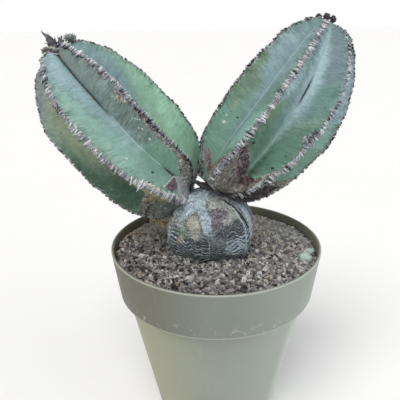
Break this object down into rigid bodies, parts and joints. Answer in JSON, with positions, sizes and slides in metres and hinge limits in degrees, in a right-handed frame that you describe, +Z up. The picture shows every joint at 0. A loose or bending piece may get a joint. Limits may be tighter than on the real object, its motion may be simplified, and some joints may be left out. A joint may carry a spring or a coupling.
{
  "type": "potted bishop's cap cactus",
  "caption": "Potted bishop's cap cactus: broad ribbed green heads with woolly areole rows on an old corky stump, in a plain tapered plastic pot of lava grit.",
  "frame": {"origin": "the centre of the pot's foot, on the surface that the pot stands on", "axes": "+Z up, along the pot's axis; -Y towards the front of the plant; +X to the right, towards the taller head"},
  "size_m": [0.261, 0.1798, 0.3515],
  "materials": {
    "pot": "satin sage grey-green plastic with faint scuffs",
    "grit": "rough mauve-brown lava grit",
    "old_stem": "old corky skin, charcoal with blue-grey wax and tan scars",
    "green_stem": "satin green skin with a blue-grey waxy bloom and grey wool along the crests",
    "dried_flower": "dry, papery and dark",
    "fruit_wool": "matt grey wool",
    "stone_chip": "pale rough stone"
  },
  "bodies": {
    "root": {"pot": "pot", "soil": "grit", "stump": "old_stem", "head_left": "green_stem", "head_right": "green_stem", "dried_flower_left": "dried_flower", "dried_tuft_left": "dried_flower", "woolly_fruit_left": "fruit_wool", "dried_scales_left": "fruit_wool", "dried_bud_right_1": "dried_flower", "dried_bud_right_2": "dried_flower", "dried_bud_right_3": "dried_flower", "stone_chip_large": "stone_chip", "stone_chip_small": "stone_chip"}
  },
  "joints": []
}
